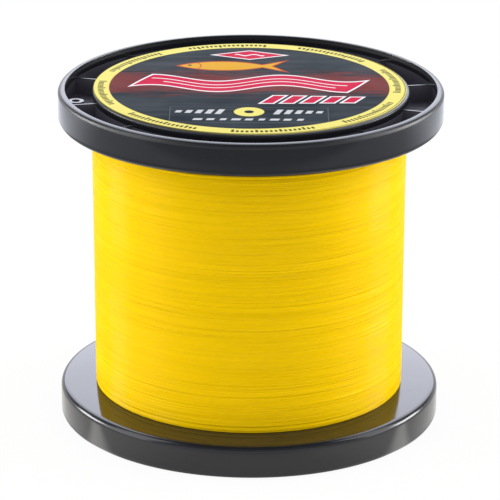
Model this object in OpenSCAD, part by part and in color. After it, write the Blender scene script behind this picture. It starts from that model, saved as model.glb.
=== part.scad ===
// Bulk spool of fishing line: two moulded flanges on a drum tube and a central arbor tube,
// a round label, and the wound line. It stands on the rim of its lower flange, with the
// origin at the centre of that rim and +Z up the axis. All sizes are in millimetres.

/* [Flanges] */
// Diameter of both flanges
flange_d = 130; // [126:1:150]
// Height of a flange, from the face that the line lies on to the top of its rim
flange_h = 11.4; // [10:0.1:16]
// Thickness of the flange's web
web_t = 2.6; // [2:0.1:3.4]
// Thickness of the rim's wall
rim_wall = 2.4; // [2.4:0.1:3.2]
// Radius of the rim's outer edge
rim_round = 1.7; // [0.8:0.1:1.9]
// Radius of the rim's inner edge
rim_inner_round = 0.3; // [0.2:0.05:0.4]
// Radius of the flange's edge on the line's side
line_side_round = 2.2; // [1:0.1:3.6]
// Turn of the lower flange on the drum, which keeps its line hole at the back
lower_turn = -90; // [-120:5:-60]

/* [Groove ribs] */
// Number of ribs across the groove between the rim and the label ring
rib_count = 12; // [6:1:14]
// Thickness of a rib at its foot
rib_t = 1.7; // [1.4:0.1:2.2]
// Thickness of a rib at its rounded top
rib_top_t = 1.1; // [0.8:0.1:1.4]
// Depth of the ribs' tops below the rim
rib_drop = 2.9; // [1.5:0.1:4]
// Angle of the first rib, anticlockwise from +X
rib_phase = 12.4; // [0:0.2:30]

/* [Label ring] */
// Diameter of the label
label_d = 105.4; // [90:0.2:106]
// Thickness of the label
label_t = 0.4; // [0.2:0.05:0.8]
// Depth of the label's face below the rim
label_recess = 0.2; // [0.1:0.05:1]
// Radius of the ring's outer edge, which shows round the label
ring_round = 0.7; // [0.5:0.1:1.4]
// Thickness of the label ring's wall
ring_wall = 2.4; // [2:0.1:3]

/* [Hub] */
// Diameter of the bore through the arbor tube
arbor_bore_d = 16; // [12:0.5:20]
// Thickness of the arbor tube's wall
arbor_wall = 2; // [1.5:0.1:3]
// Thickness of the flange's hub wall round the arbor tube
hub_wall = 3; // [2:0.1:4]
// Number of ribs between the hub and the label ring
hub_rib_count = 6; // [3:1:8]
// Thickness of a hub rib
hub_rib_t = 1.8; // [1.4:0.1:2.4]

/* [Drum] */
// Outer diameter of the drum tube that the line is wound on
barrel_d = 86; // [70:1:88]
// Thickness of the drum tube's wall
barrel_wall = 2.2; // [1.6:0.1:3]
// Distance between the flanges, which is the drum tube's length
barrel_l = 93; // [80:1:110]
// Depth that a flange's spigot ring reaches into the drum tube
spigot_l = 8; // [4:0.5:14]
// Thickness of the spigot ring
spigot_wall = 1.8; // [1.4:0.1:2.6]
// Width of the chamfer on the spigot ring's leading edge
spigot_chamfer = 0.8; // [0.3:0.1:1.2]

/* [Line hole] */
// Diameter of the hole that the line's end is put through
line_hole_d = 2.6; // [1.6:0.1:3.2]
// Outer diameter of the eyelet round the hole
eyelet_d = 5.6; // [4.6:0.1:6.4]
// Gap between the eyelet and the rim's wall
eyelet_rim_gap = 0.6; // [0.4:0.1:1.6]
// Gap between the eyelet and the rib beside it
eyelet_rib_gap = 0.9; // [0.6:0.1:2]

/* [Line] */
// Depth of the wound line on the drum
line_depth = 10; // [8:0.25:11]
// Number of loops in the outer layer
loops = 24; // [20:1:24]
// Least gap between two loops of the outer layer
loop_gap = 0.5; // [0.45:0.05:0.8]
// Length of the start tape round the drum
tape_l = 42; // [20:1:70]
// Width of the start tape
tape_w = 19; // [10:1:25]
// Thickness of the start tape
tape_t = 0.25; // [0.15:0.05:0.4]

/* [Fits] */
// Radial clearance of the glued tubes on their seats
glue_clearance = 0.1; // [0.05:0.01:0.2]
// Clearance between the line and what it lies on or against
line_clearance = 0.2; // [0.1:0.05:0.3]

/* [Hidden] */
$fn = 128;
eps = 0.01;

plastic_black = [0.09, 0.09, 0.1];
line_yellow = [1, 0.84, 0.02];
line_shade = [0.86, 0.68, 0.02];
tape_white = [0.9, 0.9, 0.86];
label_navy = [0.13, 0.15, 0.2];

flange_r = flange_d / 2;
rim_inner_r = flange_r - rim_wall;
line_low_z = flange_h;                      // the faces that the line lies between
line_high_z = flange_h + barrel_l;

seat_z = flange_h - label_recess - label_t; // heights in a flange start at its line face
rib_top_z = flange_h - rib_drop;
ring_outer_r = label_d / 2 + ring_round;
ring_inner_r = ring_outer_r - ring_wall;

arbor_outer_r = arbor_bore_d / 2 + arbor_wall;
hub_bore_r = arbor_outer_r + glue_clearance;
hub_outer_r = hub_bore_r + hub_wall;
rib_bite = 0.5;                             // how far a rib runs into the walls it joins

barrel_r = barrel_d / 2;
spigot_outer_r = barrel_r - barrel_wall - glue_clearance;
tape_gap = line_clearance / 4;              // under the tape, for its adhesive

eyelet_r = eyelet_d / 2;
eyelet_axis_r = rim_inner_r - eyelet_rim_gap - eyelet_r;
eyelet_step = (eyelet_r + rib_t / 2 + eyelet_rib_gap) / eyelet_axis_r * 180 / PI;
eyelet_rib = round(rib_count / 2);          // the rib beside the eyelet
eyelet_angle = rib_phase + eyelet_rib * 360 / rib_count - eyelet_step;

// Outer layer: loops of one tube, with six sides and a ring of points every 15 degrees
rings_per_loop = 24;
tube_sides = 6;
line_span = barrel_l - 2 * line_clearance;
loop_pitch = (line_span + loop_gap) / (loops + 1);
tube_d = loop_pitch - loop_gap;
tube_r = tube_d / 2;
coil_r = barrel_r + line_depth - tube_r;
coil_low_z = line_low_z + line_clearance + tube_r;
coil_back = 90;                             // the loops start and end at the back
bend_r = 0.75 * tube_d;
bend_steps = 3;
coil_steps = loops * rings_per_loop;
chord_dip = cos(180 / rings_per_loop);
core_outer_r = coil_r * chord_dip - tube_r - line_clearance;
core_inner_r = barrel_r + line_clearance;
stub_r = coil_r - bend_r - tube_d;          // where the tube's ends stop, inside the core

// Section of a flange, with its height along Y
module flange_section() {
    difference() {
        union() {
            translate([hub_bore_r, 0]) square([flange_r - hub_bore_r, web_t]);
            translate([rim_inner_r, 0]) square([rim_wall, flange_h]);
            translate([ring_inner_r, 0]) square([ring_wall, seat_z]);
            translate([hub_bore_r, 0]) square([hub_wall, seat_z]);
            spigot_section();
        }
        outer_corner(flange_r, 0, line_side_round, 1);
        outer_corner(flange_r, flange_h, rim_round, -1);
        outer_corner(ring_outer_r, seat_z, ring_round, -1);
        inner_corner(rim_inner_r, flange_h, rim_inner_round);
    }
}

module spigot_section() {
    inner = spigot_outer_r - spigot_wall;
    polygon([
        [inner, eps],
        [inner, -spigot_l],
        [spigot_outer_r - spigot_chamfer, -spigot_l],
        [spigot_outer_r, -spigot_l + spigot_chamfer],
        [spigot_outer_r, eps]
    ]);
}

// What rounding takes off an outer corner: way is 1 at the foot and -1 at the top
module outer_corner(x, y, r, way) {
    difference() {
        translate([x - r, way > 0 ? y - eps : y - r]) square([r + eps, r + eps]);
        translate([x - r, y + way * r]) circle(r);
    }
}

module inner_corner(x, y, r) {
    difference() {
        translate([x - eps, y - r]) square([r + eps, r + eps]);
        translate([x + r, y - r]) circle(r);
    }
}

// A moulded rib along +X from radius r0 to r1, with drafted sides and a round top
module rib(r0, r1, foot, top, height) {
    rotate([90, 0, 90])
    translate([0, 0, r0])
    linear_extrude(r1 - r0) {
        polygon([
            [-foot / 2, web_t - eps],
            [foot / 2, web_t - eps],
            [top / 2, height - top / 2],
            [-top / 2, height - top / 2]
        ]);
        translate([0, height - top / 2]) circle(d = top);
    }
}

module hub_rib() {
    length = ring_inner_r - hub_outer_r + 2 * rib_bite;
    translate([hub_outer_r - rib_bite, -hub_rib_t / 2, web_t - eps])
        cube([length, hub_rib_t, seat_z - web_t + eps]);
}

// One flange, lying with its line face on Z = 0 and its rim upwards
module flange() {
    difference() {
        union() {
            rotate_extrude() flange_section();
            for (i = [0 : rib_count - 1])
                rotate(rib_phase + i * 360 / rib_count)
                    rib(ring_outer_r - rib_bite, rim_inner_r + rib_bite, rib_t, rib_top_t, rib_top_z);
            for (i = [0 : hub_rib_count - 1])
                rotate(rib_phase + i * 360 / hub_rib_count) hub_rib();
            rotate(eyelet_angle)
                translate([eyelet_axis_r, 0, 0]) cylinder(h = rib_top_z, r = eyelet_r);
        }
        rotate(eyelet_angle)
            translate([eyelet_axis_r, 0, -eps])
                cylinder(h = rib_top_z + 2 * eps, d = line_hole_d);
    }
}

module upper_flange() {
    color(plastic_black) translate([0, 0, line_high_z]) flange();
}

module lower_flange() {
    color(plastic_black)
        translate([0, 0, line_low_z])
            rotate(lower_turn) rotate([180, 0, 0]) flange();
}

module tube(outer_r, inner_r, z0, z1) {
    rotate_extrude() translate([inner_r, z0]) square([outer_r - inner_r, z1 - z0]);
}

module barrel() {
    color(plastic_black) tube(barrel_r, barrel_r - barrel_wall, line_low_z, line_high_z);
}

// The arbor tube ends level with the label seats of both flanges
module arbor_tube() {
    color(plastic_black)
        tube(arbor_outer_r, arbor_bore_d / 2, line_low_z - seat_z, line_high_z + seat_z);
}

module label() {
    color(label_navy) translate([0, 0, line_high_z + seat_z]) cylinder(h = label_t, d = label_d);
}

// Adhesive tape round part of the drum, over the first turn of the line
module tape_strip(gap) {
    angle = tape_l / barrel_r * 180 / PI;
    spread = gap / barrel_r * 180 / PI;
    z = line_low_z + barrel_l / 2 - tape_w / 2 - gap;
    rotate(-angle / 2 - spread)
    rotate_extrude(angle = angle + 2 * spread)
        translate([barrel_r + tape_gap, z])
            square([tape_t + gap, tape_w + 2 * gap]);
}

module start_tape() {
    color(tape_white) tape_strip(0);
}

// Room in the core for the tube's end: way is 1 at the start and -1 at the end of the loops
module end_pocket(z, way) {
    width = bend_r + tube_r + 2 * line_clearance;
    low = way > 0 ? -bend_r - tube_r - line_clearance : -line_clearance;
    rotate(coil_back)
        translate([stub_r - line_clearance, low, z - tube_r - line_clearance])
            cube([core_outer_r, width, tube_d + 2 * line_clearance]);
}

module line_core() {
    color(line_shade)
    difference() {
        tube(core_outer_r, core_inner_r, line_low_z + line_clearance, line_high_z - line_clearance);
        tape_strip(line_clearance);
        end_pocket(coil_low_z, 1);
        end_pocket(coil_low_z + loops * loop_pitch, -1);
    }
}

// A ring of the tube is its centre and the direction that its first corner points in
function polar(r, a, z) = [r * cos(a), r * sin(a), z];
function back_ring(r, t, turn, z) =
    let (out = polar(1, coil_back, 0), along = polar(1, coil_back + 90, 0))
    [r * out + t * along + [0, 0, z], sin(turn) * out - cos(turn) * along];
function start_ring(i) = i < 0
    ? back_ring(stub_r, -bend_r, 0, coil_low_z)
    : let (turn = 90 * i / bend_steps)
      back_ring(coil_r - bend_r + bend_r * sin(turn), -bend_r * cos(turn), turn, coil_low_z);
function end_ring(i) =
    let (z = coil_low_z + loops * loop_pitch)
    i < 0
    ? back_ring(stub_r, bend_r, 180, z)
    : let (turn = 180 - 90 * i / bend_steps)
      back_ring(coil_r - bend_r + bend_r * sin(turn), -bend_r * cos(turn), turn, z);
function loop_ring(i) =
    let (a = coil_back + 360 * i / rings_per_loop)
    [polar(coil_r, a, coil_low_z + loop_pitch * i / rings_per_loop), polar(1, a, 0)];

tube_rings = [
    for (i = [-1 : bend_steps - 1]) start_ring(i),
    for (i = [0 : coil_steps]) loop_ring(i),
    for (i = [bend_steps - 1 : -1 : -1]) end_ring(i)
];

// Least distance between the tube and itself half a loop or more further on
function gap_between(i, j) = norm(tube_rings[i][0] - tube_rings[j][0]) - tube_d;
least_gap = min([
    for (i = [0 : len(tube_rings) - 1])
        for (j = [i + rings_per_loop / 2 : min(i + 2 * rings_per_loop, len(tube_rings) - 1)])
            gap_between(i, j)
]);
echo(least_gap_between_loops = least_gap);

module line_winding() {
    last = len(tube_rings) - 1;
    points = [
        for (ring = tube_rings)
            for (k = [0 : tube_sides - 1])
                let (a = 360 * k / tube_sides)
                ring[0] + tube_r * (cos(a) * ring[1] + sin(a) * [0, 0, 1])
    ];
    walls = [
        for (i = [0 : last - 1])
            for (k = [0 : tube_sides - 1])
                let (a = i * tube_sides + k, b = i * tube_sides + (k + 1) % tube_sides)
                for (face = [[a, a + tube_sides, b], [b, a + tube_sides, b + tube_sides]]) face
    ];
    caps = [
        for (k = [1 : tube_sides - 2])
            let (e = last * tube_sides)
                for (face = [[0, k, k + 1], [e, e + k + 1, e + k]]) face
    ];
    color(line_yellow) polyhedron(points, concat(walls, caps));
}

upper_flange();
lower_flange();
barrel();
arbor_tube();
label();
start_tape();
line_core();
line_winding();
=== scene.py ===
import bpy
import math
import random
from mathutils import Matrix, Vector


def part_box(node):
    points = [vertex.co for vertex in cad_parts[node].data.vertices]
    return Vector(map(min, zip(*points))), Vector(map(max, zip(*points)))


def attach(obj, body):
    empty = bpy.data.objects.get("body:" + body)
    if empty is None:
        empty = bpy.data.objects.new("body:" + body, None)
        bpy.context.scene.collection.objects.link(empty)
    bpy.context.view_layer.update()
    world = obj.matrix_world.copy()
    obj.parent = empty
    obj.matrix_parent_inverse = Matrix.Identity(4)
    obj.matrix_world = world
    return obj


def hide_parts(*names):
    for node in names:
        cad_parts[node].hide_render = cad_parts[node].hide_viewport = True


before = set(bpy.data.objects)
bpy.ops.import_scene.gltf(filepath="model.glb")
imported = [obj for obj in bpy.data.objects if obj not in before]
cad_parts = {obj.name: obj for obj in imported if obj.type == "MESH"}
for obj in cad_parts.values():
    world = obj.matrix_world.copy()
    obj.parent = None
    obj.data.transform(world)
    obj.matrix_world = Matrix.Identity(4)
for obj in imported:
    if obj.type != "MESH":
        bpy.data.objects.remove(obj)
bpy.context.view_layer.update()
print("frame loaded:", ", ".join(sorted(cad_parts)))

mm = 0.001
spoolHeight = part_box("upper_flange")[1].z
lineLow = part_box("barrel")[0].z      # the faces that the line lies between
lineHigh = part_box("barrel")[1].z


def deselectAll():
    bpy.ops.object.select_all(action="DESELECT")


def selectOnly(*pieces):
    deselectAll()
    for piece in pieces:
        piece.select_set(True)
    bpy.context.view_layer.objects.active = pieces[0]


def editMode():
    bpy.ops.object.mode_set(mode="EDIT")
    bpy.ops.mesh.select_mode(type="VERT")
    bpy.ops.mesh.select_all(action="DESELECT")


def objectMode():
    bpy.ops.object.mode_set(mode="OBJECT")


def selectVertices(piece, test):
    # in object mode, so that edit mode then opens with these selected
    for vertex in piece.data.vertices:
        vertex.select = test(vertex.co)
    for edge in piece.data.edges:
        edge.select = all(piece.data.vertices[i].select for i in edge.vertices)
    for face in piece.data.polygons:
        face.select = all(piece.data.vertices[i].select for i in face.vertices)


def settle(piece):
    selectOnly(piece)
    bpy.ops.object.transform_apply(location=True, rotation=True, scale=True)


def smooth(piece, angle=35):
    selectOnly(piece)
    bpy.ops.object.shade_smooth_by_angle(angle=math.radians(angle))


def drawOutline(name, corners):
    # a vertex is extruded from corner to corner: (radius, height, rounding), in mm
    deselectAll()
    first = corners[0]
    bpy.ops.mesh.primitive_plane_add(size=mm, location=(first[0] * mm, 0, first[1] * mm))
    piece = bpy.context.object
    piece.name = name
    settle(piece)
    editMode()
    bpy.ops.mesh.select_all(action="SELECT")
    bpy.ops.mesh.merge(type="CENTER")
    here = first
    for there in corners[1:] + [first]:
        step = ((there[0] - here[0]) * mm, 0, (there[1] - here[1]) * mm)
        bpy.ops.mesh.extrude_region_move(TRANSFORM_OT_translate={"value": step})
        here = there
    bpy.ops.mesh.select_all(action="SELECT")
    bpy.ops.mesh.remove_doubles(threshold=0.001 * mm)
    objectMode()
    return piece


def roundCorners(piece, corners, segments):
    for radius, height, rounding in corners:
        if rounding == 0:
            continue
        place = Vector((radius * mm, 0, height * mm))
        selectVertices(piece, lambda co: (co - place).length < 0.01 * mm)
        bpy.ops.object.mode_set(mode="EDIT")
        bpy.ops.mesh.bevel(offset=rounding * mm, segments=segments, affect="VERTICES", clamp_overlap=False)
        objectMode()


def lathe(name, corners, steps, segments=6):
    piece = drawOutline(name, corners)
    roundCorners(piece, corners, segments)
    editMode()
    bpy.ops.mesh.select_all(action="SELECT")
    bpy.ops.mesh.spin(steps=steps, angle=2 * math.pi, center=(0, 0, 0), axis=(0, 0, 1))
    bpy.ops.mesh.select_all(action="SELECT")
    bpy.ops.mesh.remove_doubles(threshold=0.002 * mm)
    bpy.ops.mesh.normals_make_consistent(inside=False)
    objectMode()
    return piece


def cutOrJoin(piece, tool, operation):
    selectOnly(piece)
    modifier = piece.modifiers.new(operation.lower(), "BOOLEAN")
    modifier.operation = operation
    modifier.solver = "EXACT"
    modifier.object = tool
    bpy.ops.object.modifier_apply(modifier=modifier.name)
    bpy.data.objects.remove(tool)


def turnedCopies(piece, angles):
    # copies of a piece turned about the spool's axis, joined into one mesh
    copies = []
    for angle in angles:
        selectOnly(piece)
        bpy.ops.object.duplicate()
        copy = bpy.context.object
        bpy.ops.transform.rotate(value=-math.radians(angle), orient_axis="Z", center_override=(0, 0, 0))
        settle(copy)
        copies.append(copy)
    bpy.data.objects.remove(piece)
    selectOnly(*copies)
    bpy.ops.object.join()
    return bpy.context.object


def newMaterial(name):
    material = bpy.data.materials.new(name)
    material.use_nodes = True
    tree = material.node_tree
    shader = tree.nodes["Principled BSDF"]
    return material, tree, shader


def addNode(tree, kind, **values):
    node = tree.nodes.new(kind)
    for key, value in values.items():
        setattr(node, key, value)
    return node


def plug(tree, value, socket):
    if isinstance(value, bpy.types.NodeSocket):
        tree.links.new(value, socket)
    else:
        socket.default_value = value


def calc(tree, operation, first, second=0.0, clamp=False):
    node = addNode(tree, "ShaderNodeMath", operation=operation, use_clamp=clamp)
    for value, socket in zip((first, second), node.inputs):
        plug(tree, value, socket)
    return node.outputs[0]


def plus(tree, first, second):
    return calc(tree, "ADD", first, second)


def minus(tree, first, second):
    return calc(tree, "SUBTRACT", first, second)


def times(tree, first, second):
    return calc(tree, "MULTIPLY", first, second)


def divided(tree, first, second):
    return calc(tree, "DIVIDE", first, second)


def larger(tree, first, second):
    return calc(tree, "MAXIMUM", first, second)


def smaller(tree, first, second):
    return calc(tree, "MINIMUM", first, second)


def unsigned(tree, value):
    return calc(tree, "ABSOLUTE", value)


def fraction(tree, value):
    return calc(tree, "FRACT", value)


def partsOf(tree, vector):
    split = addNode(tree, "ShaderNodeSeparateXYZ")
    plug(tree, vector, split.inputs[0])
    return split.outputs["X"], split.outputs["Y"], split.outputs["Z"]


def placeOn(tree):
    return addNode(tree, "ShaderNodeTexCoord").outputs["Object"]


def mixColours(tree, factor, first, second):
    node = addNode(tree, "ShaderNodeMix", data_type="RGBA")
    plug(tree, factor, node.inputs["Factor"])
    for name, value in (("A", first), ("B", second)):
        socket = [s for s in node.inputs if s.name == name and s.type == "RGBA"][0]
        plug(tree, value, socket)
    return [s for s in node.outputs if s.type == "RGBA"][0]


def noise(tree, vector, scale, detail, roughness=0.5):
    node = addNode(tree, "ShaderNodeTexNoise")
    plug(tree, vector, node.inputs["Vector"])
    node.inputs["Scale"].default_value = scale
    node.inputs["Detail"].default_value = detail
    node.inputs["Roughness"].default_value = roughness
    return node.outputs["Fac"]


def stretch(tree, vector, scale, rotation=(0, 0, 0)):
    node = addNode(tree, "ShaderNodeMapping")
    plug(tree, vector, node.inputs["Vector"])
    node.inputs["Scale"].default_value = scale
    node.inputs["Rotation"].default_value = rotation
    return node.outputs[0]


def between(tree, value, low, high, outLow=0.0, outHigh=1.0):
    node = addNode(tree, "ShaderNodeMapRange", interpolation_type="SMOOTHSTEP")
    for item, socket in zip((value, low, high, outLow, outHigh), node.inputs):
        plug(tree, item, socket)
    return node.outputs[0]


def beyond(tree, value, edge, blend):
    return between(tree, value, edge, edge + blend)


def within(tree, value, edge, blend):
    return between(tree, value, edge, edge + blend, 1.0, 0.0)


def distanceTo(tree, x, y, centreX, centreY):
    dx = minus(tree, x, centreX)
    dy = minus(tree, y, centreY)
    return calc(tree, "SQRT", plus(tree, times(tree, dx, dx), times(tree, dy, dy)))


def bump(tree, height, strength, distance):
    node = addNode(tree, "ShaderNodeBump")
    plug(tree, height, node.inputs["Height"])
    node.inputs["Strength"].default_value = strength
    node.inputs["Distance"].default_value = distance
    return node.outputs[0]


def numbers(*labels):
    return [(label, "NodeSocketFloat") for label in labels]


def newGroup(name, inputs, outputs):
    tree = bpy.data.node_groups.new(name, "ShaderNodeTree")
    for label, kind in inputs:
        tree.interface.new_socket(label, in_out="INPUT", socket_type=kind)
    for label, kind in outputs:
        tree.interface.new_socket(label, in_out="OUTPUT", socket_type=kind)
    return tree, addNode(tree, "NodeGroupInput"), addNode(tree, "NodeGroupOutput")


def useGroup(tree, group, **values):
    node = addNode(tree, "ShaderNodeGroup", node_tree=group)
    for key, value in values.items():
        plug(tree, value, node.inputs[key])
    return node


def buildMouldGroup():
    # the skin of a moulding: a faint orange peel, hair scratches and specks of dust
    group, given, result = newGroup(
        "mouldedSkin",
        [("Vector", "NodeSocketVector")] + numbers("Peel", "Scratches"),
        numbers("Height", "Marks", "Dust"))
    vector = given.outputs["Vector"]
    peel = times(group, noise(group, vector, 900, 2), given.outputs["Peel"])
    hair = noise(group, stretch(group, vector, (60, 1400, 300), (0, 0, 0.5)), 1.0, 4, 0.7)
    otherHair = noise(group, stretch(group, vector, (1300, 50, 300), (0, 0, 0.2)), 1.0, 4, 0.7)
    lines = plus(group, beyond(group, hair, 0.66, 0.08), beyond(group, otherHair, 0.67, 0.08))
    marks = calc(group, "MULTIPLY", lines, given.outputs["Scratches"], clamp=True)
    dust = between(group, noise(group, vector, 2600, 2, 0.6), 0.69, 0.76)
    plug(group, minus(group, peel, times(group, marks, 0.25)), result.inputs["Height"])
    plug(group, marks, result.inputs["Marks"])
    plug(group, dust, result.inputs["Dust"])
    return group


mouldGroup = buildMouldGroup()


plasticLook = {
    "colour": (0.0085, 0.009, 0.0115, 1),
    # painted light: the lighter, bluer grey laid in the groove
    "paintedGrooveLight": (0.068, 0.065, 0.084, 1),
    "dustColour": (0.10, 0.10, 0.11, 1),
    "roughness": 0.10,
    "satinRoughness": 0.42,
    "rubbedRoughness": 0.40,
    "landRoughness": 0.22,
    "scratchRoughness": 0.30,
    "ior": 1.58,
    "peel": 0.5,
    "scratches": 1.0,
    "middle": spoolHeight / 2,
    "grooveRadius": 62.5 * mm,       # the groove is satin, inside the rim's wall and below the ribs' tops, and its colour there is lifted as painted light
    "grooveFrom": 47.5 * mm,         # distance from the spool's middle
    "grooveTo": 54.6 * mm,
    "rubbedRadius": 61.5 * mm,      # the rim's edge is rubbed where spools stack, and its land worn smooth
    "rubbedFrom": 55.9 * mm,
    "landFrom": 57.0 * mm,
    "ringRadius": 54.5 * mm,        # the label's ring is rubbed too
    "ringRoughness": 0.34,
    "edgeRadius": 62.6 * mm,        # and the soft edges next to the line are a little worn
    "edgeTo": 48.9 * mm,
    "edgeRoughness": 0.17,
    "wearBlend": 0.5 * mm,
    "cloudScale": 45,
    "dustShare": 0.35,
}


def makePlastic(name, look, roughnessShift=0.0):
    material, tree, shader = newMaterial(name)
    place = placeOn(tree)
    skin = useGroup(tree, mouldGroup, Vector=place, Peel=look["peel"], Scratches=look["scratches"])
    x, y, z = partsOf(tree, place)
    radius = distanceTo(tree, x, y, 0.0, 0.0)
    away = unsigned(tree, minus(tree, z, look["middle"]))
    blend = look["wearBlend"]
    satinAndPaintedLight = times(tree, within(tree, radius, look["grooveRadius"], 0.3 * mm),
                  beyond(tree, away, look["grooveFrom"], 0.8 * mm))
    satinAndPaintedLight = times(tree, satinAndPaintedLight, within(tree, away, look["grooveTo"], 0.3 * mm))
    top = beyond(tree, away, look["rubbedFrom"], blend)
    rubbed = times(tree, beyond(tree, radius, look["rubbedRadius"], blend), top)
    worn = between(tree, away, look["landFrom"], look["landFrom"] + 0.6 * mm,
                   look["rubbedRoughness"], look["landRoughness"])
    ring = times(tree, within(tree, radius, look["ringRadius"], blend), top)
    edge = times(tree, beyond(tree, radius, look["edgeRadius"], blend),
                 within(tree, away, look["edgeTo"], blend))
    base = look["roughness"] + roughnessShift
    rough = between(tree, noise(tree, place, look["cloudScale"], 4), 0.35, 0.7, base - 0.03, base + 0.05)
    rough = plus(tree, rough, times(tree, skin.outputs["Marks"], look["scratchRoughness"]))
    for mask, roughness in ((satinAndPaintedLight, look["satinRoughness"]), (rubbed, worn),
                            (ring, look["ringRoughness"]), (edge, look["edgeRoughness"])):
        rough = larger(tree, rough, times(tree, mask, roughness))
    # painted light: the groove's colour is a lighter, bluer grey, standing in for light reflected into the
    # shaded recess
    tone = mixColours(tree, satinAndPaintedLight, look["colour"], look["paintedGrooveLight"])
    tone = mixColours(tree, times(tree, skin.outputs["Dust"], look["dustShare"]), tone, look["dustColour"])
    plug(tree, tone, shader.inputs["Base Color"])
    plug(tree, rough, shader.inputs["Roughness"])
    plug(tree, bump(tree, skin.outputs["Height"], 0.06, 0.1 * mm), shader.inputs["Normal"])
    shader.inputs["IOR"].default_value = look["ior"]
    return material


flangePlastic = makePlastic("flangePlastic", plasticLook)
drumPlastic = makePlastic("drumPlastic", plasticLook, 0.12)

flangeFacts = {
    "radius": 65, "height": 11.4, "web": 2.6, "rimWall": 2.4,
    "rimRound": 1.7, "rimInnerRound": 0.3, "lineSideRound": 2.2,
    "ringOuter": 53.4, "ringInner": 51.0, "ringRound": 0.7, "seatHeight": 10.8,
    "hubBore": 10.1, "hubOuter": 13.1, "footRound": 0.6, "edgeRound": 0.25,
    "spigotOuter": 40.7, "spigotInner": 38.9, "spigotLength": 8, "spigotChamfer": 0.8,
    "steps": 192,
}
ribFacts = {
    "count": 12, "phase": 12.4, "foot": 1.7, "top": 1.1, "topHeight": 8.5, "bite": 0.5, "edge": 0.18,
    "hubCount": 6, "hubThickness": 1.8, "hubEdge": 0.25,
}
eyeletFacts = {
    "outer": 2.8, "hole": 1.3, "height": 8.5, "edge": 0.15, "overlap": 0.4,
    "axis": 59.2, "angle": 188.14, "steps": 32,
}


def latheFlange(facts):
    rimInner = facts["radius"] - facts["rimWall"]
    foot = facts["footRound"]
    edge = facts["edgeRound"]
    return lathe("upperFlangeMoulding", [
        (facts["hubBore"], 0, edge),
        (facts["spigotInner"], 0, edge),
        (facts["spigotInner"], -facts["spigotLength"], edge),
        (facts["spigotOuter"], -facts["spigotLength"], facts["spigotChamfer"]),
        (facts["spigotOuter"], 0, 0),
        (facts["radius"], 0, facts["lineSideRound"]),
        (facts["radius"], facts["height"], facts["rimRound"]),
        (rimInner, facts["height"], facts["rimInnerRound"]),
        (rimInner, facts["web"], foot),
        (facts["ringOuter"], facts["web"], foot),
        (facts["ringOuter"], facts["seatHeight"], facts["ringRound"]),
        (facts["ringInner"], facts["seatHeight"], edge),
        (facts["ringInner"], facts["web"], foot),
        (facts["hubOuter"], facts["web"], foot),
        (facts["hubOuter"], facts["seatHeight"], edge),
        (facts["hubBore"], facts["seatHeight"], edge),
    ], facts["steps"])


def makeRib(length, foot, top, low, high, rounding, start):
    # a cube stretched along +X, drawn in at its top and rounded there
    deselectAll()
    bpy.ops.mesh.primitive_cube_add(
        size=1,
        location=((start + length / 2) * mm, 0, (low + high) / 2 * mm),
        scale=(length * mm, foot * mm, (high - low) * mm))
    rib = bpy.context.object
    settle(rib)
    topZ = high * mm
    selectVertices(rib, lambda co: co.z > topZ - 0.01 * mm)
    bpy.ops.object.mode_set(mode="EDIT")
    bpy.ops.transform.resize(value=(1, top / foot, 1), center_override=(0, 0, topZ))
    objectMode()
    rib.data.update()
    for edge in rib.data.edges:
        ends = [rib.data.vertices[i].co for i in edge.vertices]
        edge.select = min(e.z for e in ends) > topZ - 0.01 * mm and abs(ends[0].y - ends[1].y) < 0.01 * mm
    for vertex in rib.data.vertices:
        vertex.select = False
    for face in rib.data.polygons:
        face.select = False
    bpy.ops.object.mode_set(mode="EDIT")
    bpy.ops.mesh.select_mode(type="EDGE")
    bpy.ops.mesh.bevel(offset=rounding * mm, segments=5, affect="EDGES")
    objectMode()
    return rib


def addRibs(flange, facts, shape):
    rimInner = shape["radius"] - shape["rimWall"]
    start = shape["ringOuter"] - facts["bite"]
    length = rimInner + facts["bite"] - start
    low = shape["web"] - facts["bite"]
    groove = makeRib(length, facts["foot"], facts["top"], low, facts["topHeight"], facts["edge"], start)
    turn = 360 / facts["count"]
    ribs = turnedCopies(groove, [facts["phase"] + i * turn for i in range(facts["count"])])
    cutOrJoin(flange, ribs, "UNION")
    start = shape["hubOuter"] - facts["bite"]
    length = shape["ringInner"] + facts["bite"] - start
    thick = facts["hubThickness"]
    inner = makeRib(length, thick, thick, low, shape["seatHeight"], facts["hubEdge"], start)
    turn = 360 / facts["hubCount"]
    ribs = turnedCopies(inner, [facts["phase"] + i * turn for i in range(facts["hubCount"])])
    cutOrJoin(flange, ribs, "UNION")


def addEyelet(flange, facts, shape):
    angle = math.radians(facts["angle"])
    place = (facts["axis"] * mm * math.cos(angle), facts["axis"] * mm * math.sin(angle), 0)
    deselectAll()
    # the web is drilled a little narrower than the tube, so that the tube joins it all round
    radius = (facts["outer"] - facts["overlap"]) * mm
    bpy.ops.mesh.primitive_cylinder_add(vertices=facts["steps"], radius=radius, depth=4 * shape["web"] * mm)
    drill = bpy.context.object
    drill.location = place
    settle(drill)
    cutOrJoin(flange, drill, "DIFFERENCE")
    edge = facts["edge"]
    tube = lathe("eyeletTube", [
        (facts["hole"], 0, edge),
        (facts["outer"], 0, 0),
        (facts["outer"], facts["height"], edge),
        (facts["hole"], facts["height"], edge),
    ], facts["steps"], 4)
    tube.location = place
    settle(tube)
    cutOrJoin(flange, tube, "UNION")


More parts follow.
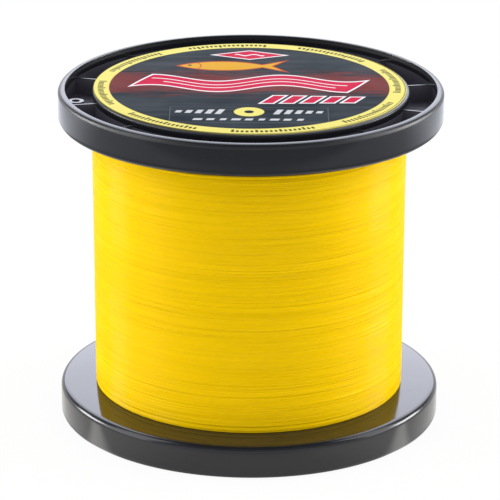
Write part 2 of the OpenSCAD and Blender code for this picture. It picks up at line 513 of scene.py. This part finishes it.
def placeFlanges():
    upper = latheFlange(flangeFacts)
    addRibs(upper, ribFacts, flangeFacts)
    addEyelet(upper, eyeletFacts, flangeFacts)
    smooth(upper, 32)
    selectOnly(upper)
    bpy.ops.object.duplicate()
    lower = bpy.context.object
    lower.name = "lowerFlangeMoulding"
    bpy.ops.transform.rotate(value=math.pi, orient_axis="X", center_override=(0, 0, 0))
    bpy.ops.transform.rotate(value=math.radians(90), orient_axis="Z", center_override=(0, 0, 0))
    lower.location.z += lineLow
    settle(lower)
    upper.location.z += lineHigh
    settle(upper)
    for piece, node in ((upper, "upper_flange"), (lower, "lower_flange")):
        piece.data.materials.clear()
        piece.data.materials.append(flangePlastic)
        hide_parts(node)
        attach(piece, "root")
        print(piece.name, len(piece.data.polygons), "faces")


placeFlanges()


arborFacts = {"bore": 8, "outer": 10, "chamfer": 0.5, "edge": 0.2, "steps": 96}


def placeArbor(facts):
    low, high = (corner.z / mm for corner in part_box("arbor_tube"))
    tube = lathe("arborSleeve", [
        (facts["bore"], low, facts["chamfer"]),
        (facts["outer"], low, facts["edge"]),
        (facts["outer"], high, facts["edge"]),
        (facts["bore"], high, facts["chamfer"]),
    ], facts["steps"], 3)
    smooth(tube)
    tube.data.materials.append(drumPlastic)
    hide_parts("arbor_tube")
    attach(tube, "root")
    print("arbor tube from", round(low, 1), "to", round(high, 1), "mm")


placeArbor(arborFacts)


def coatDrum():
    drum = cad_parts["barrel"]
    drum.data.materials.clear()
    drum.data.materials.append(drumPlastic)


coatDrum()

tapeLook = {"colour": (0.80, 0.78, 0.66, 1), "fibre": (0.62, 0.60, 0.50, 1)}


def coatTape(look):
    material, tree, shader = newMaterial("startTapeFilm")
    place = placeOn(tree)
    fibres = noise(tree, stretch(tree, place, (900, 900, 4000)), 1.0, 3)
    plug(tree, mixColours(tree, fibres, look["colour"], look["fibre"]), shader.inputs["Base Color"])
    plug(tree, between(tree, fibres, 0.3, 0.7, 0.35, 0.5), shader.inputs["Roughness"])
    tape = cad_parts["start_tape"]
    tape.data.materials.clear()
    tape.data.materials.append(material)


coatTape(tapeLook)


lineLook = {
    "colour": (0.93, 0.59, 0.0, 1),
    # painted shade between the turns
    "shadeBetweenTurns": (0.82, 0.49, 0.0, 1),
    "pale": (0.96, 0.62, 0.0, 1),
    "roughness": 0.20,
    "gloss": 0.01, "glossTint": (1.0, 0.7, 0.0, 1),
    "sheenOfFibres": 0.033, "fibreRoughness": 0.09, "fibreIor": 3.0,
    "patchScale": (10, 10, 420),    # long along the turns, and short up the pack
    "runScale": (9, 9, 760), "shadeShare": 0.15,
    "furrowScale": (4, 4, 1300),
    "ripple": 1.0, "rippleDepth": 0.85 * mm,
    "braidLength": 0.6 * mm, "braid": 0.15, "braidDepth": 0.03 * mm,
    "flatten": 0.5,                 # how much the soft fibres even out the shading between turns
}


def leanOutward(tree, place, share):
    # the surface's normal, turned part of the way to the direction straight out from the spool's axis
    level = addNode(tree, "ShaderNodeVectorMath", operation="MULTIPLY")
    plug(tree, place, level.inputs[0])
    level.inputs[1].default_value = (1, 1, 0)
    outward = addNode(tree, "ShaderNodeVectorMath", operation="NORMALIZE")
    plug(tree, level.outputs[0], outward.inputs[0])
    turned = addNode(tree, "ShaderNodeVectorTransform", vector_type="VECTOR",
                     convert_from="OBJECT", convert_to="WORLD")
    plug(tree, outward.outputs[0], turned.inputs[0])
    blend = addNode(tree, "ShaderNodeMix", data_type="VECTOR")
    blend.inputs["Factor"].default_value = share
    plug(tree, addNode(tree, "ShaderNodeNewGeometry").outputs["Normal"], blend.inputs[4])
    plug(tree, turned.outputs[0], blend.inputs[5])
    even = addNode(tree, "ShaderNodeVectorMath", operation="NORMALIZE")
    plug(tree, blend.outputs[1], even.inputs[0])
    return even.outputs[0]


def makeLineMaterial(name, look):
    material, tree, shader = newMaterial(name)
    along = addNode(tree, "ShaderNodeAttribute", attribute_name="alongLine").outputs["Fac"]
    place = placeOn(tree)
    patches = noise(tree, stretch(tree, place, look["patchScale"]), 1.0, 4, 0.7)
    runs = noise(tree, stretch(tree, place, look["runScale"]), 1.0, 4, 0.75)
    furrows = noise(tree, stretch(tree, place, look["furrowScale"]), 1.0, 2, 0.6)
    tone = mixColours(tree, between(tree, patches, 0.35, 0.65, 0.3, 0.7), look["colour"], look["pale"])
    # painted shade: darker streaks along the turns stand in for the shade between the strands
    tone = mixColours(tree, between(tree, runs, 0.48, 0.66, 0.0, look["shadeShare"]), tone, look["shadeBetweenTurns"])
    rough = between(tree, runs, 0.3, 0.7, look["roughness"] - 0.06, look["roughness"] + 0.1)
    braid = calc(tree, "SINE", times(tree, along, 2 * math.pi / look["braidLength"]))
    ripples = bump(tree, furrows, look["ripple"], look["rippleDepth"])
    plug(tree, leanOutward(tree, place, look["flatten"]), ripples.node.inputs["Normal"])
    relief = bump(tree, braid, look["braid"], look["braidDepth"])
    plug(tree, ripples, relief.node.inputs["Normal"])
    for socket, value in (("Base Color", tone), ("Roughness", rough), ("Normal", relief),
                          ("Specular IOR Level", look["gloss"]), ("Specular Tint", look["glossTint"]),
                          ("Coat Weight", look["sheenOfFibres"]), ("Coat Roughness", look["fibreRoughness"]),
                          ("Coat IOR", look["fibreIor"])):
        plug(tree, value, shader.inputs[socket])
    return material


lineMaterial = makeLineMaterial("braidedLine", lineLook)

windFacts = {
    "bedInner": 43.2,           # plain inner layers
    "bedRadius": 52.2,
    "bedEdge": 0.3,
    "bedGap": 0.1,
    "bedSteps": 96,
    "underRadius": 52.52,       # centreline of the tight layer on them
    "underStrand": 0.46,
    "underPitch": 0.40,
    "outerRadius": 52.68,       # centreline of the first crossing traverse
    "climb": 0.006,             # each traverse lies this much further out
    "strand": 0.44,
    "pointsPerTurn": 60,
    "pieces": 4,
    "turnsPerPiece": 340,
    "sideGap": 0.26,
    "firstLead": 1.4,           # how far the line climbs in a turn
    "leads": (0.95, 1.9),
    "turnZone": 1.2,            # near a flange it climbs slower
    "slowest": 0.35,
    "wander": (0.10, 0.05),
    "seed": 11,
}
lumpFacts = {
    "rings": (0.02, 0.006), "ringLengths": (3.7, 1.9),
    "swell": (-0.17, 0.27), "lean": (0.17, 0.53),   # at the lower flange and at the upper one
}


def lumps(angle, height, phases):
    # the pack isn't a true cylinder: soft rings, and a swell that leans to the left at the top, in mm
    facts = lumpFacts
    fine = height / facts["ringLengths"][1] + phases[1] + 0.4 * math.sin(angle)
    rings = facts["rings"][0] * math.sin(height / facts["ringLengths"][0] + phases[0])
    rings += facts["rings"][1] * math.sin(fine)
    share = min(max((height * mm - lineLow) / (lineHigh - lineLow), 0), 1)
    swell, lean = (low + (high - low) * share for low, high in (facts["swell"], facts["lean"]))
    return rings + swell - lean * math.cos(angle)


def sweepLine(name, points, strand):
    # points are in mm, along the centreline
    curve = bpy.data.curves.new(name, "CURVE")
    curve.dimensions = "3D"
    curve.bevel_depth = strand / 2 * mm
    curve.bevel_resolution = 0
    curve.use_fill_caps = True
    spline = curve.splines.new("POLY")
    spline.points.add(len(points) - 1)
    flat = []
    for x, y, z in points:
        flat += [x * mm, y * mm, z * mm, 1]
    spline.points.foreach_set("co", flat)
    piece = bpy.data.objects.new(name, curve)
    bpy.context.scene.collection.objects.link(piece)
    selectOnly(piece)
    bpy.ops.object.convert(target="MESH")
    piece = bpy.context.object
    bpy.ops.object.shade_smooth()
    markLength(piece, points)
    piece.data.materials.clear()
    piece.data.materials.append(lineMaterial)
    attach(piece, "root")
    print(name, len(piece.data.polygons), "faces")
    return piece


def markLength(piece, points):
    sides = len(piece.data.vertices) // len(points)
    lengths = [0.0]
    for here, there in zip(points, points[1:]):
        lengths.append(lengths[-1] + math.dist(here, there) * mm)
    values = []
    for length in lengths:
        values += [length] * sides
    values += [lengths[-1]] * (len(piece.data.vertices) - len(values))
    attribute = piece.data.attributes.new("alongLine", "FLOAT", "POINT")
    attribute.data.foreach_set("value", values)


def windTight(facts, phases):
    low = lineLow / mm + facts["sideGap"]
    high = lineHigh / mm - facts["sideGap"]
    turns = (high - low) / facts["underPitch"]
    count = int(turns * facts["pointsPerTurn"])
    points = []
    for i in range(count + 1):
        angle = 2 * math.pi * i / facts["pointsPerTurn"]
        height = low + (high - low) * i / count
        radius = facts["underRadius"] + lumps(angle, height, phases)
        points.append((radius * math.cos(angle), radius * math.sin(angle), height))
    return points


def windTraverses(facts, phases):
    # one unbroken line that runs up and down the drum, turning back at each flange
    rng = random.Random(facts["seed"])
    low = lineLow / mm + facts["sideGap"]
    high = lineHigh / mm - facts["sideGap"]
    total = facts["pieces"] * facts["turnsPerPiece"] * facts["pointsPerTurn"]
    points = []
    height = low
    way = 1
    lead = facts["firstLead"]
    traverse = 0
    for i in range(total + 1):
        angle = 2 * math.pi * i / facts["pointsPerTurn"]
        edge = min(height - low, high - height)
        slow = min(1.0, facts["slowest"] + edge / facts["turnZone"])
        height += way * lead * slow / facts["pointsPerTurn"]
        if height > high or height < low:
            height = min(max(height, low), high)
            way = -way
            traverse += 1
            lead = rng.uniform(*facts["leads"])
        wander = facts["wander"][0] * math.sin(angle * 0.37 + traverse)
        wander += facts["wander"][1] * math.sin(angle * 1.9 + 2 * traverse)
        radius = facts["outerRadius"] + facts["climb"] * traverse + lumps(angle, height, phases)
        z = min(max(height + wander, low), high)
        points.append((radius * math.cos(angle), radius * math.sin(angle), z))
    print("line wound in", traverse, "traverses")
    return points


def placeLine(facts):
    rng = random.Random(facts["seed"])
    phases = [rng.uniform(0, 2 * math.pi) for _ in range(2)]
    low = lineLow / mm + facts["bedGap"]
    high = lineHigh / mm - facts["bedGap"]
    bed = lathe("lineInnerLayers", [
        (facts["bedInner"], low, 0),
        (facts["bedRadius"], low, facts["bedEdge"]),
        (facts["bedRadius"], high, facts["bedEdge"]),
        (facts["bedInner"], high, 0),
    ], facts["bedSteps"], 3)
    smooth(bed)
    bed.data.materials.append(lineMaterial)
    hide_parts("line_core")
    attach(bed, "root")
    tight = sweepLine("lineTightLayer", windTight(facts, phases), facts["underStrand"])
    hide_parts("line_winding")
    points = windTraverses(facts, phases)
    share = facts["turnsPerPiece"] * facts["pointsPerTurn"]
    for k in range(facts["pieces"]):
        ownPoints = points[k * share:(k + 1) * share + 1]
        piece = sweepLine("lineOuterWraps" + str(k + 1), ownPoints, facts["strand"])
        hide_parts("line_winding")


placeLine(windFacts)


labelFacts = {
    "radius": 52.7, "edge": 0.12, "steps": 160,
    "stuckAt": (-0.4, 0.1),         # the label is stuck a little to one side of the ring
    "offCentre": (-0.6, 0.1),       # and its print lies a little to one side too
}
labelLook = {
    "navy": (0.0135, 0.019, 0.0255, 1),
    "navyLight": (0.037, 0.046, 0.055, 1),
    "border": (0.80, 0.715, 0.20, 1),
    "ink": (0.04, 0.038, 0.02, 1),
    "maroon": (0.165, 0.030, 0.028, 1),
    "crimson": (0.56, 0.016, 0.062, 1),
    "orange": (0.68, 0.36, 0.03, 1),
    "rust": (0.50, 0.07, 0.02, 1),
    "white": (0.84, 0.82, 0.84, 1),
    "silver": (0.58, 0.59, 0.61, 1),
    "grey": (0.10, 0.115, 0.125, 1),
    "gloss": 0.01,
}
inkBleed = 0.12     # mm that a printed edge is soft to each side


def buildBarGroup():
    # signed distance, in mm, to a slanted bar
    group, given, result = newGroup(
        "slantedBar",
        numbers("X", "Y", "CentreX", "CentreY", "HalfWidth", "HalfHeight", "Slant"),
        numbers("Distance"))
    out = given.outputs
    y = minus(group, out["Y"], out["CentreY"])
    x = minus(group, minus(group, out["X"], out["CentreX"]), times(group, y, out["Slant"]))
    sideX = minus(group, unsigned(group, x), out["HalfWidth"])
    sideY = minus(group, unsigned(group, y), out["HalfHeight"])
    plug(group, larger(group, sideX, sideY), result.inputs["Distance"])
    return group


def buildWaveGroup():
    # signed distance, in mm, to a waving ribbon with slanted ends
    group, given, result = newGroup(
        "wavingRibbon",
        numbers("X", "Y", "CentreX", "CentreY", "HalfWidth", "HalfHeight", "Swing", "WaveLength"),
        numbers("Distance"))
    out = given.outputs
    x = minus(group, out["X"], out["CentreX"])
    turn = divided(group, times(group, x, 2 * math.pi), out["WaveLength"])
    crest = times(group, calc(group, "SINE", turn), out["Swing"])
    y = minus(group, minus(group, out["Y"], out["CentreY"]), crest)
    thick = minus(group, unsigned(group, y), out["HalfHeight"])
    ends = minus(group, unsigned(group, minus(group, x, times(group, y, 0.6))), out["HalfWidth"])
    plug(group, larger(group, thick, ends), result.inputs["Distance"])
    return group


def distanceFrom(tree, group, x, y, centre, half, **rest):
    node = useGroup(tree, group, X=x, Y=y, CentreX=centre[0], CentreY=centre[1],
                    HalfWidth=half[0], HalfHeight=half[1], **rest)
    return node.outputs["Distance"]


def printShape(tree, under, distance, fill, outline=None, width=0.0):
    # lays a shape on the print so far, with an outline round it where one is asked for
    tone = under
    if outline is not None:
        cover = between(tree, distance, width - inkBleed, width + inkBleed, 1.0, 0.0)
        tone = mixColours(tree, cover, tone, outline)
    cover = between(tree, distance, -inkBleed, inkBleed, 1.0, 0.0)
    return mixColours(tree, cover, tone, fill)


bandFacts = {"middle": 4.0, "ragged": 52.0, "fade": (7.0, 13.0), "cover": 0.95, "streaks": (50, 900, 1)}


def printBand(tree, under, y, place, look):
    # a brushed red band across the middle, ragged along its edges
    facts = bandFacts
    streaks = noise(tree, stretch(tree, place, facts["streaks"]), 1.0, 4, 0.7)
    ragged = times(tree, minus(tree, streaks, 0.5), facts["ragged"])
    fromBand = unsigned(tree, minus(tree, plus(tree, y, ragged), facts["middle"]))
    band = between(tree, fromBand, *facts["fade"], facts["cover"], 0.0)
    return mixColours(tree, band, under, look["maroon"])


ribbonFacts = {
    "centre": (0, 4), "half": (36, 5.6), "outline": 1.0,
    "wave": {"Swing": 3.8, "WaveLength": 44.0},
    "lines": ((1.7, 33), (-1.7, 29)), "lineHalf": 0.35,
}


def printRibbon(tree, under, x, y, waves, look):
    # a waving ribbon with two fine lines along it
    facts = ribbonFacts
    ribbon = distanceFrom(tree, waves, x, y, facts["centre"], facts["half"], **facts["wave"])
    tone = printShape(tree, under, ribbon, look["crimson"], look["white"], facts["outline"])
    for lift, reach in facts["lines"]:
        centre = (facts["centre"][0], facts["centre"][1] + lift)
        line = distanceFrom(tree, waves, x, y, centre, (reach, facts["lineHalf"]), **facts["wave"])
        tone = printShape(tree, tone, line, look["white"])
    return tone


fishFacts = {
    "centre": (-9, 24.5), "halfLength": 15, "halfDepth": 5.0, "outline": 0.8,
    "tailStart": 3.5, "tailSpread": 0.62, "tailLength": 5.0, "fork": 0.7,
    "eye": (3.5, 0.6), "eyeRadius": 0.7,
    "gill": 2.0, "gillRadius": 5.4, "gillLine": 0.2, "gillFrom": 3.0,
}


def printFish(tree, under, x, y, look):
    # a plain fish that swims to the left: two arcs for its body, a forked tail, an eye and a gill
    facts = fishFacts
    half = facts["halfLength"]
    depth = facts["halfDepth"]
    arc = (half * half + depth * depth) / (2 * depth)
    across = minus(tree, x, facts["centre"][0])
    up = minus(tree, y, facts["centre"][1])
    back = distanceTo(tree, across, up, 0.0, depth - arc)
    belly = distanceTo(tree, across, up, 0.0, arc - depth)
    body = minus(tree, larger(tree, back, belly), arc)
    past = minus(tree, across, half - facts["tailStart"])
    height = unsigned(tree, up)
    tail = minus(tree, height, times(tree, past, facts["tailSpread"]))
    fork = minus(tree, minus(tree, past, times(tree, height, facts["fork"])), facts["tailLength"])
    fish = smaller(tree, body, larger(tree, tail, fork))
    tone = printShape(tree, under, fish, look["orange"], look["rust"], facts["outline"])
    eye = distanceTo(tree, across, up, facts["eye"][0] - half, facts["eye"][1])
    tone = printShape(tree, tone, minus(tree, eye, facts["eyeRadius"]), look["navy"])
    gill = minus(tree, distanceTo(tree, across, up, facts["gill"] - half, 0.0), facts["gillRadius"])
    gill = minus(tree, unsigned(tree, gill), facts["gillLine"])
    gill = larger(tree, gill, larger(tree, body, minus(tree, facts["gillFrom"] - half, across)))
    return printShape(tree, tone, gill, look["rust"])


barFacts = {
    "count": 5, "first": 8.0, "step": 6.6, "height": -14.5,
    "half": (1.9, 4.2), "less": 0.3, "slant": 0.5, "outline": 0.8,
}


def printBars(tree, under, x, y, bars, look):
    # a row of slanted bars, each a little lower than the one before
    facts = barFacts
    tone = under
    for k in range(facts["count"]):
        centre = (facts["first"] + facts["step"] * k, facts["height"])
        half = (facts["half"][0], facts["half"][1] - facts["less"] * k)
        bar = distanceFrom(tree, bars, x, y, centre, half, Slant=facts["slant"])
        tone = printShape(tree, tone, bar, look["crimson"], look["white"], facts["outline"])
    return tone


fanFacts = {"count": 5, "first": 9.6, "step": 3.4, "height": -28.6, "half": (1.0, 2.6), "less": 0.35}
rowFacts = {"count": 9, "step": 4.2, "height": -37.0, "half": (1.5, 1.0), "less": 0.25, "repeat": 3}
dashSlant = 0.3


def printDashes(tree, under, x, y, bars, look):
    # dashes on both sides of the ring that get shorter outward, and a row below them
    places = []
    facts = fanFacts
    for k in range(facts["count"]):
        aside = facts["first"] + facts["step"] * k
        half = (facts["half"][0], facts["half"][1] - facts["less"] * k)
        places += [((-aside, facts["height"]), half), ((aside, facts["height"]), half)]
    facts = rowFacts
    for k in range(facts["count"]):
        half = (facts["half"][0] - facts["less"] * (k % facts["repeat"]), facts["half"][1])
        places.append((((k - facts["count"] // 2) * facts["step"], facts["height"]), half))
    tone = under
    for centre, half in places:
        dash = distanceFrom(tree, bars, x, y, centre, half, Slant=dashSlant)
        tone = printShape(tree, tone, dash, look["silver"])
    return tone


panelFacts = {
    "centre": (0, -32), "half": (26, 8.4), "line": 0.12,
    "ring": (0, -28.6), "ringRadii": (5.0, 1.6),
}


def printPanel(tree, under, x, y, bars, look):
    # a fine frame round the dashes, and the plain ring between them
    facts = panelFacts
    panel = distanceFrom(tree, bars, x, y, facts["centre"], facts["half"], Slant=0.0)
    tone = printShape(tree, under, minus(tree, unsigned(tree, panel), facts["line"]), look["grey"])
    ring = distanceTo(tree, x, y, *facts["ring"])
    for radius, ink in zip(facts["ringRadii"], (look["border"], look["navy"])):
        tone = printShape(tree, tone, minus(tree, ring, radius), ink)
    return tone


lozengeFacts = {
    "centre": (0, 38), "flat": 0.42, "half": 5.0, "outline": 0.8,
    "waveHalf": (5, 0.5), "wave": {"Swing": 0.8, "WaveLength": 6.0},
}


def printLozenge(tree, under, x, y, waves, look):
    # a flat lozenge with a small wave in it
    facts = lozengeFacts
    across = times(tree, unsigned(tree, x), facts["flat"])
    up = unsigned(tree, minus(tree, y, facts["centre"][1]))
    lozenge = minus(tree, plus(tree, across, up), facts["half"])
    tone = printShape(tree, under, lozenge, look["crimson"], look["white"], facts["outline"])
    wave = distanceFrom(tree, waves, x, y, facts["centre"], facts["waveHalf"], **facts["wave"])
    return printShape(tree, tone, wave, look["white"])


borderFacts = {
    "inner": 47.2, "blend": 0.15,
    "markInner": 49.1, "markOuter": 51.0, "markBlend": 0.1, "longInner": 48.4, "longEvery": 5,
    "markTurn": 1.8, "markFade": (0.26, 0.34),      # degrees from mark to mark, and shares of that
    "runTurn": 45, "runFade": (0.72, 0.725), "runCover": 0.95,
    "firstTurn": 187,
    "lineRadius": 52.5, "lineFade": (0.08, 0.26), "lineCover": 0.8,
}


def printBorder(tree, under, x, y, look):
    # a pale border with runs of a plain scale, and a fine dark line near its edge
    facts = borderFacts
    radius = distanceTo(tree, x, y, 0.0, 0.0)
    cover = between(tree, radius, facts["inner"] - facts["blend"], facts["inner"] + facts["blend"])
    tone = mixColours(tree, cover, under, look["border"])
    angle = times(tree, calc(tree, "ARCTAN2", y, x), 180 / math.pi)
    turned = plus(tree, angle, facts["firstTurn"])
    counted = divided(tree, turned, facts["markTurn"])
    offset = unsigned(tree, minus(tree, fraction(tree, counted), 0.5))
    mark = between(tree, offset, *facts["markFade"], 1.0, 0.0)
    # every fifth mark is longer
    group = fraction(tree, divided(tree, counted, facts["longEvery"]))
    edge = 1 / facts["longEvery"]
    start = between(tree, group, edge - 0.001, edge + 0.001, facts["longInner"], facts["markInner"])
    blend = facts["markBlend"]
    above = between(tree, minus(tree, radius, start), -blend, blend)
    below = between(tree, radius, facts["markOuter"] - blend, facts["markOuter"] + blend, 1.0, 0.0)
    run = fraction(tree, divided(tree, turned, facts["runTurn"]))
    run = between(tree, run, *facts["runFade"], facts["runCover"], 0.0)
    marks = times(tree, times(tree, mark, times(tree, above, below)), run)
    tone = mixColours(tree, marks, tone, look["ink"])
    fromLine = unsigned(tree, minus(tree, radius, facts["lineRadius"]))
    line = between(tree, fromLine, *facts["lineFade"], facts["lineCover"], 0.0)
    return mixColours(tree, line, tone, look["ink"])


def makeLabelMaterial(facts, look):
    material, tree, shader = newMaterial("printedLabel")
    place = placeOn(tree)
    # the print is drawn in mm
    x, y = partsOf(tree, place)[:2]
    x = minus(tree, divided(tree, x, mm), facts["offCentre"][0])
    y = minus(tree, divided(tree, y, mm), facts["offCentre"][1])
    brushed = noise(tree, stretch(tree, place, (18, 260, 1)), 1.0, 5, 0.6)
    clouds = noise(tree, place, 26, 3)
    shade = plus(tree, times(tree, brushed, 0.6), times(tree, clouds, 0.4))
    tone = mixColours(tree, between(tree, shade, 0.38, 0.64), look["navy"], look["navyLight"])
    bars = buildBarGroup()
    waves = buildWaveGroup()
    tone = printBand(tree, tone, y, place, look)
    tone = printRibbon(tree, tone, x, y, waves, look)
    tone = printFish(tree, tone, x, y, look)
    tone = printBars(tree, tone, x, y, bars, look)
    tone = printDashes(tree, tone, x, y, bars, look)
    tone = printPanel(tree, tone, x, y, bars, look)
    tone = printLozenge(tree, tone, x, y, waves, look)
    tone = printBorder(tree, tone, x, y, look)
    plug(tree, tone, shader.inputs["Base Color"])
    handled = noise(tree, place, 60, 4, 0.6)
    plug(tree, between(tree, handled, 0.35, 0.7, 0.40, 0.52), shader.inputs["Roughness"])
    shader.inputs["Specular IOR Level"].default_value = look["gloss"]
    plug(tree, bump(tree, noise(tree, place, 40, 2), 0.05, 0.4 * mm), shader.inputs["Normal"])
    return material


def placeLabel(facts):
    low, high = (corner.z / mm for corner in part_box("label"))
    disc = lathe("printedDisc", [
        (0, low, 0),
        (facts["radius"], low, facts["edge"]),
        (facts["radius"], high, facts["edge"]),
        (0, high, 0),
    ], facts["steps"], 3)
    selectOnly(disc)
    bpy.ops.object.mode_set(mode="EDIT")
    bpy.ops.mesh.select_all(action="SELECT")
    bpy.ops.transform.translate(value=(facts["stuckAt"][0] * mm, facts["stuckAt"][1] * mm, 0))
    objectMode()
    smooth(disc)
    disc.data.materials.append(makeLabelMaterial(facts, labelLook))
    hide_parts("label")
    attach(disc, "root")
    print("label", round(high - low, 2), "mm thick")


placeLabel(labelFacts)


cameraFacts = {
    "focalLength": 244.19, "sensor": 36.0, "distance": 1.16078, "elevation": 19.486, "roll": 0.382,
    "shiftY": -0.00325, "nearest": 0.05,
}


def placeCamera(facts):
    camera = bpy.data.objects.new("camera", bpy.data.cameras.new("camera"))
    bpy.context.scene.collection.objects.link(camera)
    lift = math.radians(facts["elevation"])
    target = Vector((0, 0, spoolHeight / 2))
    camera.location = target + facts["distance"] * Vector((0, -math.cos(lift), math.sin(lift)))
    camera.rotation_euler = (math.pi / 2 - lift, 0, 0)
    camera.rotation_euler.rotate_axis("Z", math.radians(facts["roll"]))
    camera.data.lens = facts["focalLength"]
    camera.data.sensor_width = facts["sensor"]
    camera.data.shift_y = facts["shiftY"]
    camera.data.clip_start = facts["nearest"]
    bpy.context.scene.camera = camera


lampFacts = [
    {"name": "leftBox", "place": (-1.0, -0.24, 0.5), "size": (0.7, 1.2), "power": 4.8},
    {"name": "leftStrip", "place": (-0.86, 0.262, 0.24), "size": (0.38, 0.26), "power": 3.5},
    {"name": "rightBox", "place": (1.0, -0.02, 0.5), "size": (0.7, 1.2), "power": 4.8},
    {"name": "rightStrip", "place": (0.86, 0.262, 0.24), "size": (0.38, 0.26), "power": 3.5},
]


def placeLamp(facts):
    lamp = bpy.data.objects.new(facts["name"], bpy.data.lights.new(facts["name"], "AREA"))
    bpy.context.scene.collection.objects.link(lamp)
    middle = Vector((0, 0, spoolHeight / 2))
    lamp.location = facts["place"]
    lamp.rotation_euler = (middle - lamp.location).to_track_quat("-Z", "Y").to_euler()
    lamp.data.shape = "RECTANGLE"
    lamp.data.size, lamp.data.size_y = facts["size"]
    lamp.data.energy = facts["power"]
    lamp.visible_camera = False


def lightPaths(tree):
    # whether the camera sees it, and whether it is seen in a reflection
    path = addNode(tree, "ShaderNodeLightPath")
    mirrored = larger(tree, path.outputs["Is Glossy Ray"], path.outputs["Is Transmission Ray"])
    return path.outputs["Is Camera Ray"], mirrored


def mixShaders(tree, share, first, second, output):
    mixer = addNode(tree, "ShaderNodeMixShader")
    plug(tree, share, mixer.inputs[0])
    plug(tree, first, mixer.inputs[1])
    plug(tree, second, mixer.inputs[2])
    plug(tree, mixer.outputs[0], tree.nodes[output].inputs["Surface"])


floorFacts = {
    "size": 6, "colour": (0.85, 0.85, 0.85, 1), "roughness": 0.9,
    "nearTint": (1.0, 0.99, 0.96, 1), "farTint": (0.86, 0.90, 1.0, 1), "tintFade": (0.09, 0.20),
    # what is reflected: distances in metres, and how bright the floor is there
    "front": (-0.37, -0.22), "frontLevels": (0.15, 0.46),
    "back": (0.0, 0.24), "backLevels": (0.0, 0.85),
    "foot": (0.07, 0.22), "footSide": (0.02, 0.07), "footLevels": (0.25, 0.68),
    "laneStart": (0.085, 0.12), "laneEnd": (0.25, 0.30), "laneLevel": 0.2,
    "gleamAlong": (0.962, 0.275), "gleamAside": 0.0527,
    "gleamWidth": (0.001, 0.006), "gleamStart": (0.07, 0.09), "gleamLevel": 1.6,
    "seenShare": 0.93, "mirroredShare": 0.8,
}


def levelOfSweep(tree, facts, x, y, out):
    # reflections show the white sweep brighter behind the spool and round its foot than in front of it
    aside = unsigned(tree, x)
    front = between(tree, y, *facts["front"], *facts["frontLevels"])
    back = between(tree, y, *facts["back"], *facts["backLevels"])
    foot = times(tree, between(tree, out, *facts["foot"], 1.0, 0.0),
                 between(tree, aside, *facts["footSide"], *facts["footLevels"]))
    lane = larger(tree, between(tree, out, *facts["laneStart"], 1.0, facts["laneLevel"]),
                  between(tree, out, *facts["laneEnd"], facts["laneLevel"], 1.0))
    # and a gleam on it beside each front quarter of the lower rim
    cosine, sine = facts["gleamAlong"]
    along = plus(tree, times(tree, aside, cosine), times(tree, y, sine))
    off = minus(tree, times(tree, y, cosine), times(tree, aside, sine))
    off = unsigned(tree, plus(tree, off, facts["gleamAside"]))
    gleam = times(tree, between(tree, off, *facts["gleamWidth"], facts["gleamLevel"], 0.0),
                  between(tree, along, *facts["gleamStart"], 1.0, 0.0))
    return plus(tree, times(tree, plus(tree, front, back), lane), plus(tree, foot, gleam))


def placeFloor(facts):
    deselectAll()
    bpy.ops.mesh.primitive_plane_add(size=facts["size"], location=(0, 0, 0))
    floor = bpy.context.object
    floor.name = "studioFloor"
    material, tree, shader = newMaterial("paleFloor")
    shader.inputs["Base Color"].default_value = facts["colour"]
    shader.inputs["Roughness"].default_value = facts["roughness"]
    x, y = partsOf(tree, placeOn(tree))[:2]
    out = distanceTo(tree, x, y, 0.0, 0.0)
    seen, mirrored = lightPaths(tree)
    sweep = levelOfSweep(tree, facts, x, y, out)
    white = addNode(tree, "ShaderNodeEmission")
    tint = mixColours(tree, between(tree, out, *facts["tintFade"]), facts["nearTint"], facts["farTint"])
    plug(tree, mixColours(tree, mirrored, (1, 1, 1, 1), tint), white.inputs["Color"])
    plug(tree, plus(tree, times(tree, sweep, mirrored), seen), white.inputs["Strength"])
    share = plus(tree, times(tree, seen, facts["seenShare"]), times(tree, mirrored, facts["mirroredShare"]))
    mixShaders(tree, share, shader.outputs[0], white.outputs[0], "Material Output")
    floor.data.materials.append(material)


airFacts = {
    "level": 0.88, "colour": (0.95, 0.96, 1.0, 1), "mirroredColour": (0.85, 0.88, 1.0, 1),
    # what is reflected, by direction: a white horizon, a tall lit backdrop behind and a dim ceiling
    "horizon": (0.08, 0.22),
    "backdropLow": (0.12, 0.26), "backdropBehind": (0.12, 0.4), "backdropAside": (0.35, 0.6), "backdrop": 3.2,
    "ceiling": (0.5, 0.85), "ceilingLevels": (0.35, 0.1),
}


def paintAir(facts):
    world = bpy.data.worlds.new("studioAir")
    bpy.context.scene.world = world
    world.use_nodes = True
    tree = world.node_tree
    air = tree.nodes["Background"]
    x, y, up = partsOf(tree, addNode(tree, "ShaderNodeTexCoord").outputs["Generated"])
    behind = between(tree, y, *facts["backdropBehind"], 0.0, facts["backdrop"])
    aside = between(tree, unsigned(tree, x), *facts["backdropAside"], 1.0, 0.0)
    backdrop = times(tree, times(tree, behind, between(tree, up, *facts["backdropLow"])), aside)
    overhead = plus(tree, backdrop, between(tree, up, *facts["ceiling"], *facts["ceilingLevels"]))
    seen, mirrored = lightPaths(tree)
    plug(tree, mixColours(tree, mirrored, facts["colour"], facts["mirroredColour"]), air.inputs["Color"])
    change = times(tree, minus(tree, overhead, facts["level"]), mirrored)
    plug(tree, plus(tree, change, facts["level"]), air.inputs["Strength"])
    # the camera sees plain white
    white = addNode(tree, "ShaderNodeBackground")
    white.inputs["Color"].default_value = (1, 1, 1, 1)
    share = larger(tree, seen, times(tree, mirrored, between(tree, up, *facts["horizon"], 1.0, 0.0)))
    mixShaders(tree, share, air.outputs[0], white.outputs[0], "World Output")
    bpy.context.scene.view_settings.view_transform = "Standard"


placeCamera(cameraFacts)
for lamp in lampFacts:
    placeLamp(lamp)
placeFloor(floorFacts)
paintAir(airFacts)
print("studio ready")
